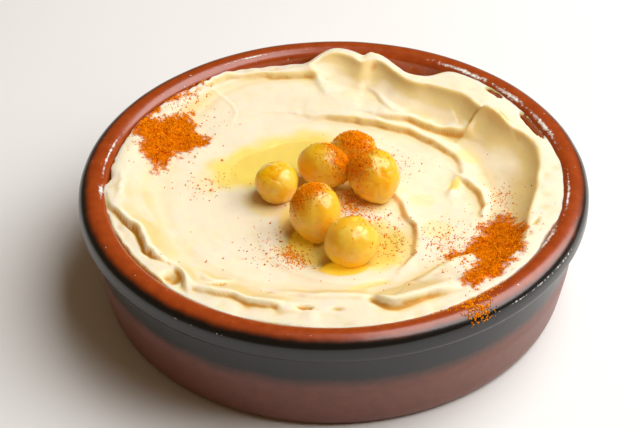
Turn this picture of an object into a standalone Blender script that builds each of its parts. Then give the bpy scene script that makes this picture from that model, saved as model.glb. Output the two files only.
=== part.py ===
"""Hummus in a round glazed clay dish, with chickpeas and olive oil in the well.

The dish is a turned shell. The hummus fills it to just under the rim: a bank
stands round the wall, a spoon has drawn ridges across the trough inside it, and
two shallow wells hold the oil. Six cooked chickpeas sit in sockets in the hummus.

Lengths are in millimetres and are scaled to metres where a mesh is made. The
origin is the centre of the dish's foot, +Z is up and -Y is the front.
"""

import bmesh
import bpy
import numpy as np
from mathutils import Euler

MM = 0.001

# The dish.
HEIGHT = 32.0
RIM_RADIUS = 65.0
CREST_RADIUS = 61.1
LIP_ROUND = 3.1
LIP_DEPTH = 6.4
LIP_UNDERCUT = 2.3
BODY_RADIUS = 62.2
BODY_TAPER = 2.5
FOOT_HEIGHT = 3.0
FOOT_CHAMFER = 1.0
FLOOR = 5.0
FLOOR_FILLET = 7.0
WALL_FOOT_RADIUS = 55.6
WALL_TOP_RADIUS = 58.3
WALL_TOP = 29.3
DISH_STEPS = 60

# The gap that touching pieces keep.
GAP = 0.3

# The hummus.
SURFACE = 25.8
SURFACE_TILT = 0.015
CENTRE_RADIUS = 22.0
HUMMUS_RINGS = 27
HUMMUS_STEPS = 72
SIDE_DEPTH = 7.0

# The bank at stations round the dish: degrees from +X, radius and height of its
# foot, radius and height of its crest, and height where it meets the wall.
BANK = (
    (0, 46.5, 27.0, 52.0, 30.8, 31.0),
    (20, 46.0, 27.0, 53.2, 31.0, 30.3),
    (42, 46.5, 27.2, 50.8, 30.8, 29.0),
    (62, 46.5, 27.0, 51.0, 30.3, 27.8),
    (76, 48.0, 27.6, 54.0, 31.0, 30.8),
    (90, 50.0, 28.4, 56.5, 32.2, 31.6),
    (104, 51.0, 28.2, 53.6, 29.6, 29.0),
    (120, 52.6, 28.0, 55.4, 29.8, 30.8),
    (145, 51.5, 27.7, 56.2, 30.6, 31.2),
    (180, 48.0, 27.0, 54.5, 31.0, 30.6),
    (220, 47.0, 27.2, 53.5, 31.2, 31.2),
    (260, 43.0, 27.6, 51.5, 31.2, 31.2),
    (300, 44.0, 27.5, 51.0, 31.0, 31.0),
    (335, 46.5, 27.0, 51.5, 30.8, 31.0),
)

# Ridges drawn by the spoon: rise, width of the steep side, width of the gentle
# side, and the line of the crest. The steep side is on the left along the line.
RIDGES = {
    "inner_swirl": (1.3, 1.6, 5.0, ((34, 8), (33, 13), (29, 20), (22, 25), (12, 29.5), (0, 32), (-9, 33.5))),
    "outer_swirl": (1.3, 2.0, 2.6, ((40, 29), (35, 25.5), (29, 27.5), (21, 31), (11, 34))),
    "right_shoulder": (1.3, 1.8, 3.2, ((38, -9), (39, -3), (36, 4), (32.5, 10))),
    "well_side": (1.6, 1.8, 3.4, ((16, -33), (20, -26), (20.5, -18), (18, -9), (15, -1))),
    "back_fold": (1.0, 1.8, 3.0, ((17, 34), (13.5, 42), (9.5, 50), (7, 56))),
    "curl": (1.3, 1.6, 2.4, ((9, -39), (8, -45), (12, -48.5), (19, -47), (26, -43))),
    "tongue": (1.6, 2.4, 3.4, ((25, -37), (30, -33.5), (36, -28.5))),
    "left_bank_fold": (0.8, 1.6, 2.2, ((-55, -12), (-50, -19.5), (-45, -27.5), (-38, -34))),
}

# The wells that hold the oil: centre, half length, half width, turn in degrees,
# depth at the middle and level of the oil.
WELLS = {
    "olive_oil_front": (3.0, -21.5, 20.0, 13.0, -6.0, 1.9, 25.2),
    "olive_oil_back": (-15.0, 14.5, 20.5, 9.5, 28.0, 1.3, 25.75),
}
POOL_REACH = 0.86
POOL_EDGE = 0.3
POOL_RINGS = 5
POOL_STEPS = 28
CUTTER_TOP = 4.0

# The chickpeas: centre, radius, stretch along the beak, and the beak's heading
# and pitch in degrees.
CHICKPEAS = (
    (-14.4, -1.0, 30.2, 5.55, 1.00, 200, 35),
    (-2.6, 4.5, 31.6, 5.95, 1.14, -50, -20),
    (6.4, 12.9, 30.0, 5.30, 1.00, 60, 10),
    (10.4, 0.3, 31.2, 6.70, 1.03, -68, -35),
    (-4.5, -14.5, 31.2, 6.50, 1.12, -85, -50),
    (4.3, -25.3, 29.9, 6.55, 1.03, 25, -10),
)
BEAK_RISE = 0.13
BEAK_SPREAD = 0.36
SEAM_DEPTH = 0.05
SEAM_WIDTH = 0.16


def start_clean():
    """Removes what the file holds and returns the collections for the parts and for their cutters."""
    for obj in list(bpy.data.objects):
        bpy.data.objects.remove(obj)
    parts = bpy.data.collections.new("hummus_in_clay_dish")
    cutters = bpy.data.collections.new("cutters")
    for collection in (parts, cutters):
        bpy.context.scene.collection.children.link(collection)
    return parts, cutters


def finish(name, colour, roughness):
    """A plain material from its linear colour and its roughness."""
    material = bpy.data.materials.new(name)
    material.use_nodes = True
    shader = material.node_tree.nodes["Principled BSDF"]
    shader.inputs["Base Color"].default_value = (*colour, 1.0)
    shader.inputs["Roughness"].default_value = roughness
    return material


def arc(centre, radii, start, end, count):
    """Points of an elliptical arc in the profile's plane, between two angles in degrees."""
    angles = np.radians(np.linspace(start, end, count))
    return [
        (centre[0] + radii[0] * np.cos(angle), centre[1] + radii[1] * np.sin(angle))
        for angle in angles
    ]


def turned(name, profile, steps, collection):
    """A profile in millimetres turned round Z, with its Screw left as a modifier."""
    mesh = bpy.data.meshes.new(name)
    points = [(radius * MM, 0.0, height * MM) for radius, height in profile]
    mesh.from_pydata(points, [(i, i + 1) for i in range(len(points) - 1)], [])
    obj = bpy.data.objects.new(name, mesh)
    collection.objects.link(obj)
    screw = obj.modifiers.new("turn", "SCREW")
    screw.steps = steps
    screw.render_steps = steps
    screw.use_merge_vertices = True
    screw.merge_threshold = 0.1 * MM
    return obj


def settle(obj):
    """Replaces an object's mesh by the one that its modifiers make."""
    graph = bpy.context.evaluated_depsgraph_get()
    mesh = bpy.data.meshes.new_from_object(obj.evaluated_get(graph))
    obj.modifiers.clear()
    obj.data = mesh


def reshape(obj, rule):
    """Moves every point of an object by a rule on arrays of x, y and z in millimetres."""
    points = np.empty(len(obj.data.vertices) * 3, np.float32)
    obj.data.vertices.foreach_get("co", points)
    x, y, z = points.reshape(-1, 3).T.astype(float) / MM
    moved = np.stack(rule(x, y, z), axis=1) * MM
    obj.data.vertices.foreach_set("co", moved.astype(np.float32).ravel())
    obj.data.update()


def smooth(obj, angle=40):
    """Shades an object smooth, with edges sharper than the angle in degrees kept sharp."""
    obj.data.shade_smooth()
    obj.data.set_sharp_from_angle(angle=np.radians(angle))


def cut(obj, cutter):
    """Cuts one piece by another with an exact Boolean."""
    boolean = obj.modifiers.new(cutter.name, "BOOLEAN")
    boolean.operation = "DIFFERENCE"
    boolean.solver = "EXACT"
    boolean.object = cutter


def hide(cutter):
    """Marks an object as a cutter."""
    cutter.hide_render = True
    cutter.display_type = "WIRE"


def ease(t):
    """A step from 0 to 1 that starts and ends level."""
    t = np.clip(t, 0.0, 1.0)
    return t * t * (3.0 - 2.0 * t)


def inside_wall():
    """The dish's inner side from the floor's edge to the top of the straight wall."""
    centre = (WALL_FOOT_RADIUS - FLOOR_FILLET, FLOOR + FLOOR_FILLET)
    return arc(centre, (FLOOR_FILLET, FLOOR_FILLET), -90, 0, 4) + [(WALL_TOP_RADIUS, WALL_TOP)]


def wall_radius(height):
    """Radius of the dish's straight inner wall at a height."""
    share = (height - FLOOR - FLOOR_FILLET) / (WALL_TOP - FLOOR - FLOOR_FILLET)
    return WALL_FOOT_RADIUS + (WALL_TOP_RADIUS - WALL_FOOT_RADIUS) * share


def dish_profile():
    """The dish's section: inner floor, wall, rounded lip, body and foot."""
    inner_lip = arc(
        (CREST_RADIUS, WALL_TOP), (CREST_RADIUS - WALL_TOP_RADIUS, HEIGHT - WALL_TOP), 180, 90, 4
    )
    outer_lip = arc(
        (CREST_RADIUS, HEIGHT - LIP_ROUND), (RIM_RADIUS - CREST_RADIUS, LIP_ROUND), 90, 0, 6
    )
    lip_foot = HEIGHT - LIP_DEPTH
    body_top = lip_foot - 0.8
    return [
        (0.0, FLOOR),
        *inside_wall()[:-1],
        *inner_lip,
        *outer_lip[1:],
        (RIM_RADIUS, lip_foot + 0.6),
        (RIM_RADIUS - 0.4, lip_foot),
        (RIM_RADIUS - 0.4 - LIP_UNDERCUT, body_top),
        (BODY_RADIUS - 0.3 * BODY_TAPER, 0.5 * body_top),
        (BODY_RADIUS - BODY_TAPER, FOOT_HEIGHT),
        (BODY_RADIUS - BODY_TAPER - 0.8, FOOT_CHAMFER),
        (BODY_RADIUS - BODY_TAPER - 0.8 - FOOT_CHAMFER, 0.0),
        (0.0, 0.0),
    ]


def build_dish(parts):
    """The clay dish."""
    dish = turned("dish", dish_profile(), DISH_STEPS, parts)
    settle(dish)
    smooth(dish)
    dish.data.materials.append(finish("glazed terracotta", (0.33, 0.075, 0.022), 0.25))
    return dish


def bank_at(angle):
    """The bank's five measures at each angle in degrees, eased between its stations."""
    stations = np.array(BANK + ((BANK[0][0] + 360, *BANK[0][1:]),), float)
    angle = np.mod(angle, 360.0)
    after = np.clip(np.searchsorted(stations[:, 0], angle, side="right"), 1, len(stations) - 1)
    low, high = stations[after - 1], stations[after]
    share = ease((angle - low[..., 0]) / (high[..., 0] - low[..., 0]))[..., None]
    return np.moveaxis(low[..., 1:] + (high[..., 1:] - low[..., 1:]) * share, -1, 0)


def crest_line(points, per_span=6):
    """A Catmull-Rom curve through the given points, as an array of x and y."""
    knots = np.array([points[0], *points, points[-1]], float)
    t = np.linspace(0.0, 1.0, per_span, endpoint=False)[:, None]
    spans = []
    for a, b, c, d in zip(knots, knots[1:], knots[2:], knots[3:]):
        spans.append(
            0.5 * (2 * b + (c - a) * t + (2 * a - 5 * b + 4 * c - d) * t**2 + (3 * b - a - 3 * c + d) * t**3)
        )
    return np.concatenate([*spans, knots[-1:]])


def ridge(x, y, rise, steep, gentle, points):
    """Height of one ridge: a bell across its crest line, narrow on the left and wide on the right."""
    line = crest_line(points)
    start, along = line[:-1], np.diff(line, axis=0)
    length = np.hypot(along[:, 0], along[:, 1])
    from_start = np.stack([x, y], -1)[:, None, :] - start
    share = np.clip((from_start * along).sum(-1) / length**2, 0.0, 1.0)
    offset = from_start - share[..., None] * along
    distance = np.hypot(offset[..., 0], offset[..., 1])
    nearest = distance.argmin(axis=1)
    rows = np.arange(len(x))
    side = along[nearest, 0] * offset[rows, nearest, 1] - along[nearest, 1] * offset[rows, nearest, 0]
    width = np.where(side > 0, steep, gentle)
    travelled = (nearest + share[rows, nearest]) / len(along)
    taper = np.sin(np.pi * np.clip(travelled, 0.02, 0.98)) ** 0.6
    return rise * taper * np.exp(-((distance[rows, nearest] / width) ** 2))


def across_well(x, y, well):
    """How far a point lies out in a well, from 0 at its middle to 1 at its brim."""
    centre_x, centre_y, half_length, half_width, turn = well[:5]
    cos, sin = np.cos(np.radians(turn)), np.sin(np.radians(turn))
    along = ((x - centre_x) * cos + (y - centre_y) * sin) / half_length
    aside = ((y - centre_y) * cos - (x - centre_x) * sin) / half_width
    return np.hypot(along, aside)


def hummus_height(x, y):
    """Height of the hummus: the level middle, the bank round it, the ridges and the wells."""
    radius = np.hypot(x, y)
    foot_radius, foot, crest_radius, crest, edge = bank_at(np.degrees(np.arctan2(y, x)))
    middle = SURFACE + SURFACE_TILT * y
    out = np.clip((radius - CENTRE_RADIUS) / (foot_radius - CENTRE_RADIUS), 0.0, 1.0)
    height = middle + (foot - middle) * out**1.5
    height += (crest - foot) * ease((radius - foot_radius) / (crest_radius - foot_radius))
    height += (edge - crest) * np.clip((radius - crest_radius) / (WALL_TOP_RADIUS - crest_radius), 0.0, 1.0) ** 2
    for measures in RIDGES.values():
        height += ridge(x, y, *measures)
    for well in WELLS.values():
        height -= well[5] * np.clip(1.0 - across_well(x, y, well) ** 2, 0.0, None) ** 1.5
    return height


def build_hummus(parts):
    """The hummus: a turned disc that fits the dish, whose top is then raised to its relief."""
    top = HEIGHT + 10.0
    edge_radius = WALL_TOP_RADIUS - GAP
    shoulder = WALL_TOP - SIDE_DEPTH
    rings = [(edge_radius * i / HUMMUS_RINGS, top) for i in range(HUMMUS_RINGS + 1)]
    fillet_centre = (WALL_FOOT_RADIUS - FLOOR_FILLET, FLOOR + FLOOR_FILLET)
    fillet_radius = FLOOR_FILLET - GAP
    profile = [
        *rings,
        (wall_radius(shoulder) - GAP, shoulder),
        *arc(fillet_centre, (fillet_radius, fillet_radius), 0, -90, 4),
        (0.0, FLOOR + GAP),
    ]
    hummus = turned("hummus", profile, HUMMUS_STEPS, parts)
    settle(hummus)

    def rule(x, y, z):
        return x, y, np.where(z > top - 1.0, hummus_height(x, y), z)

    reshape(hummus, rule)
    smooth(hummus, 60)
    hummus.data.materials.append(finish("chickpea and tahini paste", (0.88, 0.74, 0.48), 0.55))
    return hummus


def build_pool(name, well, grow, collection):
    """The oil in one well: level on top and round below. A cutter is grown and reaches higher."""
    centre_x, centre_y, half_length, half_width, turn, depth, level = well
    cutter_rise = CUTTER_TOP if grow else 0.0
    sunk = depth - (SURFACE + SURFACE_TILT * centre_y - level) - GAP
    rings = [i / POOL_RINGS for i in range(POOL_RINGS + 1)]
    upper = [(ring, level + cutter_rise) for ring in rings]
    lower = [
        (ring, level - POOL_EDGE - max(sunk - POOL_EDGE, 0.1) * (1.0 - ring**2) - grow)
        for ring in reversed(rings)
    ]
    pool = turned(name, upper + lower, POOL_STEPS, collection)
    settle(pool)
    cos, sin = np.cos(np.radians(turn)), np.sin(np.radians(turn))

    def rule(x, y, z):
        along = x * (half_length * POOL_REACH + grow)
        aside = y * (half_width * POOL_REACH + grow)
        return centre_x + along * cos - aside * sin, centre_y + along * sin + aside * cos, z

    reshape(pool, rule)
    smooth(pool)
    return pool


def build_chickpea(name, place, grow, collection):
    """A chickpea: a ball drawn out to a blunt beak, with a shallow seam that runs up to it."""
    centre, radius, stretch, heading, pitch = place[:3], *place[3:]
    mesh = bpy.data.meshes.new(name)
    ball = bmesh.new()
    bmesh.ops.create_uvsphere(ball, u_segments=16, v_segments=10, radius=1.0)
    ball.to_mesh(mesh)
    ball.free()
    chickpea = bpy.data.objects.new(name, mesh)
    collection.objects.link(chickpea)
    size = radius + grow

    def rule(x, y, z):
        x, y, z = x * MM, y * MM, z * MM
        from_beak = np.arccos(np.clip(x, -1.0, 1.0))
        reach = 1.0 + BEAK_RISE * np.exp(-((from_beak / BEAK_SPREAD) ** 2))
        reach -= SEAM_DEPTH * np.exp(-((y / SEAM_WIDTH) ** 2)) * ease(z) * ease(0.8 + x)
        return x * reach * stretch * size, y * reach * size, z * reach * size

    reshape(chickpea, rule)
    smooth(chickpea, 60)
    chickpea.location = [value * MM for value in centre]
    chickpea.rotation_euler = Euler((0.0, np.radians(-pitch), np.radians(heading)))
    return chickpea


def main():
    parts, cutters = start_clean()
    build_dish(parts)
    hummus = build_hummus(parts)
    skin = finish("cooked chickpea", (0.72, 0.36, 0.06), 0.3)
    oil = finish("olive oil", (0.85, 0.62, 0.08), 0.08)

    sockets = []
    for number, place in enumerate(CHICKPEAS, 1):
        chickpea = build_chickpea(f"chickpea_{number}", place, 0.0, parts)
        chickpea.data.materials.append(skin)
        socket = build_chickpea(f"socket_{number}", place, GAP, cutters)
        hide(socket)
        sockets.append(socket)
        cut(hummus, socket)

    for name, well in WELLS.items():
        pool = build_pool(name, well, 0.0, parts)
        pool.data.materials.append(oil)
        bed = build_pool(f"{name}_bed", well, GAP, cutters)
        hide(bed)
        cut(hummus, bed)
        for socket in sockets:
            cut(pool, socket)


main()
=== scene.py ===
"""The finished looks of a clay dish of hummus with chickpeas, olive oil and paprika.

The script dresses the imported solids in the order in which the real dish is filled: the
dish, the hummus, the chickpeas, the oil and the paprika. Floor, light and camera come
last. Lengths are in millimetres and become metres where a mesh or a lamp is placed.
The dish stands on its foot at the origin, +Z is up and -Y is the front.
"""

import itertools

import bpy
import numpy as np
from mathutils import Matrix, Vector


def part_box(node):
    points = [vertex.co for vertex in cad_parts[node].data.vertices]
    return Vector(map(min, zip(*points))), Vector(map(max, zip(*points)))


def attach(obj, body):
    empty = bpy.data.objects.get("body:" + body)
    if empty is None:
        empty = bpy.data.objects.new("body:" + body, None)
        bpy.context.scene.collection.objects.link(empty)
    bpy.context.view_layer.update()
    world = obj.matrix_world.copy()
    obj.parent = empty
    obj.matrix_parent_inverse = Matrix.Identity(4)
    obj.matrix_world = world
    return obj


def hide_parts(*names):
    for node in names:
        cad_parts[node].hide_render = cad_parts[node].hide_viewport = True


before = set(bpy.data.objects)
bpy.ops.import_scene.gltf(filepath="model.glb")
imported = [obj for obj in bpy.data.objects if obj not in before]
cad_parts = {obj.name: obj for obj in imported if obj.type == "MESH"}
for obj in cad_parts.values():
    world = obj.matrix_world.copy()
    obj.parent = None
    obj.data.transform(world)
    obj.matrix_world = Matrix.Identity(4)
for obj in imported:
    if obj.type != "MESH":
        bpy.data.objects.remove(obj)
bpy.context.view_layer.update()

# ---- The dish ----
# A small oven dish of red earthenware, turned on a wheel. A honey-brown glaze covers the
# inside and the top of the lip. A black one runs from the lip's outer edge halfway down
# the side, where it thins out over the satin red-brown body.

MM = 0.001
dish_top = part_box("dish")[1]
HEIGHT = dish_top.z / MM
RIM_RADIUS = dish_top.x / MM
CREST_RADIUS = RIM_RADIUS - 3.9
LIP_ROUND = 3.1
LIP_DEPTH = 6.4
LIP_UNDERCUT = 2.3
BODY_RADIUS = RIM_RADIUS - 2.8
BODY_TAPER = 2.5
FOOT_HEIGHT = 3.0
FOOT_CHAMFER = 1.0
FLOOR = 5.0
FLOOR_FILLET = 7.0
WALL_FOOT_RADIUS = 55.6
WALL_TOP_RADIUS = 57.6
WALL_TOP = HEIGHT - 2.7
DISH_STEPS = 360
SECTION_SPACING = 0.45


def ease(t):
    """A step from 0 to 1 that starts and ends level."""
    t = np.clip(t, 0.0, 1.0)
    return t * t * (3.0 - 2.0 * t)


def lumps(places, seed, repeat=32):
    """Value noise from -1 to 1.

    Random heights stand on a lattice of whole numbers that repeats, and are eased in
    between. The last axis of places holds two or three coordinates.
    """
    axes = places.shape[-1]
    heights = np.random.default_rng(seed).uniform(-1.0, 1.0, (repeat,) * axes)
    cell = np.floor(places).astype(int)
    share = ease(places - cell)
    total = 0.0
    for corner in itertools.product((0, 1), repeat=axes):
        weight = np.prod(np.where(corner, share, 1.0 - share), axis=-1)
        total = total + weight * heights[tuple(np.moveaxis((cell + corner) % repeat, -1, 0))]
    return total


def arc(centre, radii, start, end, count=14):
    """Points of an elliptical arc in the section's plane, between two angles in degrees."""
    angle = np.radians(np.linspace(start, end, count))
    return [*zip(centre[0] + radii[0] * np.cos(angle), centre[1] + radii[1] * np.sin(angle))]


def spaced(points, spacing):
    """The same outline with its points at an even spacing, and how far along it each one lies."""
    points = np.array(points, float)
    along = np.concatenate([[0.0], np.cumsum(np.hypot(*np.diff(points, axis=0).T))])
    even = np.linspace(0.0, along[-1], round(along[-1] / spacing) + 1)
    return np.stack([np.interp(even, along, column) for column in points.T], -1), even


def softened(points, passes):
    """An outline with its corners rounded: each point moves to a mean with its neighbours, again and again."""
    points = points.copy()
    for _ in range(passes):
        points[1:-1] = (points[:-2] + 2.0 * points[1:-1] + points[2:]) / 4.0
    return points


def piece(name, points, faces, finish, marks):
    """A mesh that rides on the row's one body. Marks are values per point that its finish reads."""
    mesh = bpy.data.meshes.new(name)
    mesh.from_pydata(points * MM, [], faces)
    for mark, values in marks.items():
        data = mesh.attributes.new(mark, "FLOAT", "POINT").data
        data.foreach_set("value", values.astype(np.float32).ravel())
    mesh.materials.append(finish)
    obj = bpy.data.objects.new(name, mesh)
    bpy.context.scene.collection.objects.link(obj)
    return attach(obj, "root")


def closed_surface(name, rings, finish, looped=False, **marks):
    """A smooth piece from rings of points, from its crown outwards, down and back in below.

    Quads join each ring to the next. A fan closes each end on the ring's middle, or the
    last ring is joined to the first where the rings loop.
    """
    count, steps = rings.shape[:2]
    here = np.arange(count * steps).reshape(count, steps)
    beside = np.roll(here, -1, axis=1)
    below, below_beside = np.roll(here, -1, axis=0), np.roll(beside, -1, axis=0)
    quads = np.stack([here, below, below_beside, beside], -1)
    faces = quads[: count if looped else -1].reshape(-1, 4).tolist()
    points = rings.reshape(-1, 3)
    if not looped:
        points = np.concatenate([points, rings[[0, -1]].mean(axis=1)])
        marks = {m: np.append(v, v[[0, -1]].mean(axis=1)) for m, v in marks.items()}
        crown = np.stack([np.full(steps, len(points) - 2), here[0], beside[0]], -1)
        base = np.stack([np.full(steps, len(points) - 1), beside[-1], here[-1]], -1)
        faces += crown.tolist() + base.tolist()
    obj = piece(name, points, faces, finish, marks)
    obj.data.shade_smooth()
    return obj


def around(radius, angle, height):
    """Points in space from a radius, an angle in radians and a height, whose shapes go together."""
    radius, angle, height = np.broadcast_arrays(radius, angle, height)
    return np.stack([radius * np.cos(angle), radius * np.sin(angle), height], -1)


def colour(code):
    """A linear colour from an sRGB hex code."""
    channels = np.array([int(code[i : i + 2], 16) for i in (0, 2, 4)]) / 255.0
    linear = np.where(channels <= 0.04045, channels / 12.92, ((channels + 0.055) / 1.055) ** 2.4)
    return (*linear, 1.0)


def per_metre(size):
    """The scale that makes a pattern's cell this many millimetres wide."""
    return 1.0 / (size * MM)


def add(tree, kind, inputs=(), take=0, **settings):
    """Adds a node and returns the output to take. An input is a value, or another node's output to link."""
    node = tree.nodes.new("ShaderNode" + kind)
    for name, value in settings.items():
        setattr(node, name, value)
    for socket, value in dict(inputs).items():
        if isinstance(value, bpy.types.NodeSocket):
            tree.links.new(value, node.inputs[socket])
        else:
            node.inputs[socket].default_value = value
    return node.outputs[take] if node.outputs else None


def new_finish(name):
    """An empty material, its node tree and the place on the piece in object coordinates."""
    finish = bpy.data.materials.new(name)
    finish.use_nodes = True
    finish.node_tree.nodes.clear()
    return finish, finish.node_tree, add(finish.node_tree, "TexCoord", take="Object")


def dish_outline():
    """The dish's section from the floor's edge up the wall, over the lip and down to the foot."""
    fillet = (WALL_FOOT_RADIUS - FLOOR_FILLET, FLOOR + FLOOR_FILLET)
    lip_foot = HEIGHT - LIP_DEPTH
    body_top = lip_foot - 0.8
    foot_radius = BODY_RADIUS - BODY_TAPER
    return [
        *arc(fillet, (FLOOR_FILLET, FLOOR_FILLET), -90, 0),
        *arc((CREST_RADIUS, WALL_TOP), (CREST_RADIUS - WALL_TOP_RADIUS, HEIGHT - WALL_TOP), 180, 90),
        *arc((CREST_RADIUS, HEIGHT - LIP_ROUND), (RIM_RADIUS - CREST_RADIUS, LIP_ROUND), 90, 0)[1:],
        (RIM_RADIUS, lip_foot + 0.6),
        (RIM_RADIUS - 0.4, lip_foot),
        (RIM_RADIUS - 0.4 - LIP_UNDERCUT, body_top),
        (BODY_RADIUS - 0.3 * BODY_TAPER, 0.5 * body_top),
        (foot_radius, FOOT_HEIGHT),
        (foot_radius - 0.8, FOOT_CHAMFER),
        (foot_radius - 0.8 - FOOT_CHAMFER, 0.0),
    ]


def glazed_clay():
    """Lead-free glaze over red earthenware, fired once: a glassy skin, honey brown or black,
    with pinholes and specks, that ends in a thin red-brown satin wash on the lower body.
    A band of pale flecks along the lip's outer edge is painted glints of the lamp."""
    finish, tree, place = new_finish("glazed red earthenware")
    over_lip = add(tree, "Attribute", attribute_name="over_lip", take="Fac")
    drift = add(tree, "TexNoise", {"Vector": place, "Scale": per_metre(9), "Detail": 4.0})
    mottle = add(tree, "TexNoise", {"Vector": place, "Scale": per_metre(2.5), "Detail": 5.0})
    edge = add(tree, "Math", {0: drift, 1: 1.6, 2: over_lip}, operation="MULTIPLY_ADD")
    black = add(
        tree,
        "MapRange",
        {"Value": edge, "From Min": 1.7, "From Max": 3.9},
        interpolation_type="SMOOTHSTEP",
    )
    bare = add(tree, "MapRange", {"Value": edge, "From Min": 18.5, "From Max": 22.0})
    honey = add(tree, "MixRGB", {"Fac": mottle, "Color1": colour("8A2E04"), "Color2": colour("B04C12")})
    clay = add(tree, "MixRGB", {"Fac": mottle, "Color1": colour("643426"), "Color2": colour("8A4E3C")})
    banded = add(tree, "MixRGB", {"Fac": black, "Color1": honey, "Color2": colour("0C0B0A")})
    body = add(tree, "MixRGB", {"Fac": bare, "Color1": banded, "Color2": clay})
    speck = add(tree, "TexNoise", {"Vector": place, "Scale": per_metre(0.8), "Detail": 1.0})
    # Pale specks over the glaze, and along the lip's outer edge painted glints in the same grey-white, packed in a
    # band.
    edge_wear = add(tree, "Attribute", attribute_name="edge_wear", take="Fac")
    worn = add(tree, "Math", {0: edge_wear, 1: 0.3, 2: speck}, operation="MULTIPLY_ADD")
    specks_and_glints = add(tree, "MapRange", {"Value": worn, "From Min": 0.77, "From Max": 0.81})
    base = add(tree, "MixRGB", {"Fac": specks_and_glints, "Color1": body, "Color2": colour("C8C2BC")})
    dull = add(tree, "MapRange", {"Value": bare, "To Min": 0.2, "To Max": 0.36})
    rough = add(tree, "Math", {0: mottle, 1: 0.08, 2: dull}, operation="MULTIPLY_ADD")
    relief = add(tree, "Bump", {"Height": mottle, "Strength": 0.25, "Distance": 0.1 * MM})
    shader = add(
        tree,
        "BsdfPrincipled",
        {"Base Color": base, "Roughness": rough, "Normal": relief, "IOR": 1.62},
    )
    add(tree, "OutputMaterial", {"Surface": shader})
    return finish


section, along_section = spaced(dish_outline(), SECTION_SPACING)
section = softened(section, 3)
over_lip = (along_section - along_section[section[:, 1].argmax()])[:, None]
turn = np.linspace(0.0, 2.0 * np.pi, DISH_STEPS, endpoint=False)
glaze_edge = over_lip - 0.5 * np.cos(turn + 0.9)
# Painted glints: sectors round the lip, strongest at the front right, where pale flecks crowd the lip's outer edge;
# lower down the outside the specks thin out.
glint_sectors = ease(1.6 * lumps(np.stack([turn * 16.0 / np.pi, 0.0 * turn], -1), seed=2))
glint_sectors = np.maximum(0.6 * glint_sectors, ease(1.3 - np.abs(turn - 5.6) / 0.4))
edge_wear = 1.5 * glint_sectors * np.exp(-(((over_lip - 4.6) / 0.45) ** 2)) - ease((over_lip - 3.0) / 3.0)
out_of_round = 0.1 * np.sin(2.0 * turn + 0.7) + 0.06 * np.sin(3.0 * turn + 2.1)
rings = around(section[:, :1] + out_of_round, turn, section[:, 1:])
rings *= 1.0 + 0.0008 * lumps(rings / 7.0, seed=1)[..., None] * (section[:, 1] > 6.0)[:, None, None]
dish = closed_surface("clay_dish", rings, glazed_clay(), over_lip=glaze_edge, edge_wear=edge_wear)
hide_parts("dish")

# ---- The hummus ----
# Chickpeas and tahini blended to a smooth, stiff paste and spooned into the dish. The
# back of the spoon has pressed it against the wall in a ragged bank and drawn folds
# round the middle, where two shallow wells are left for the oil.

SURFACE = 25.8
SURFACE_TILT = 0.015
CENTRE_RADIUS = 22.0
HUMMUS_RINGS = 144
HUMMUS_STEPS = 640

# The bank at stations round the dish: degrees from +X, radius and height of its foot,
# radius and height of its crest, height at its outer edge, and how hollow its inner face
# is, from 0 for a soft slope to 1 for a scoop that ends in a sharp crest.
BANK = (
    (1, 40.5, 24.8, 52.2, 31.3, 31.1, 1.0),
    (7, 40.5, 24.7, 53.4, 31.4, 31.1, 1.0),
    (13, 40.0, 24.7, 54.4, 31.4, 31.0, 1.0),
    (19, 40.0, 24.7, 53.6, 31.3, 30.9, 1.0),
    (25, 39.5, 24.8, 51.2, 31.2, 30.9, 1.0),
    (32, 39.5, 24.8, 50.6, 31.3, 31.0, 1.0),
    (38, 39.0, 24.9, 49.6, 31.5, 31.0, 1.0),
    (45, 39.0, 25.1, 50.0, 31.5, 31.0, 1.0),
    (51, 39.5, 25.5, 49.3, 31.4, 31.0, 1.0),
    (57, 40.0, 26.1, 48.6, 31.3, 30.4, 1.0),
    (62, 41.0, 26.7, 47.8, 31.3, 27.4, 1.0),
    (67, 41.5, 27.0, 49.0, 31.4, 27.0, 1.0),
    (72, 43.5, 27.2, 51.8, 31.7, 28.8, 1.0),
    (77, 45.0, 27.3, 54.0, 32.0, 31.0, 1.0),
    (81, 45.0, 27.6, 52.2, 31.8, 30.6, 0.9),
    (85, 46.0, 27.8, 54.6, 32.0, 31.4, 0.9),
    (89, 47.0, 28.0, 56.2, 32.2, 31.9, 0.9),
    (93, 48.0, 28.1, 55.4, 31.6, 31.2, 0.8),
    (98, 49.6, 28.4, 52.4, 29.8, 29.2, 0.7),
    (108, 51.0, 28.3, 53.0, 29.2, 28.9, 0.6),
    (122, 51.5, 28.2, 54.5, 29.4, 30.2, 0.5),
    (135, 49.0, 27.8, 54.5, 30.2, 30.9, 0.2),
    (160, 43.0, 27.2, 55.0, 30.7, 30.8, 0.2),
    (176, 42.0, 27.0, 55.0, 30.7, 30.5, 0.2),
    (190, 42.0, 27.1, 55.0, 30.6, 30.8, 0.2),
    (205, 42.0, 27.2, 54.5, 30.0, 30.4, 0.2),
    (215, 42.0, 27.2, 53.5, 29.9, 30.4, 0.2),
    (235, 42.0, 27.3, 52.5, 30.3, 30.9, 0.2),
    (265, 38.0, 26.9, 50.0, 30.5, 30.8, 0.2),
    (300, 41.0, 27.0, 50.5, 30.7, 30.8, 0.3),
    (325, 42.0, 26.6, 54.2, 31.0, 30.8, 0.7),
    (342, 41.0, 25.4, 51.2, 31.2, 31.0, 1.0),
    (354, 40.5, 24.9, 51.2, 31.3, 31.0, 1.0),
)

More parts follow.
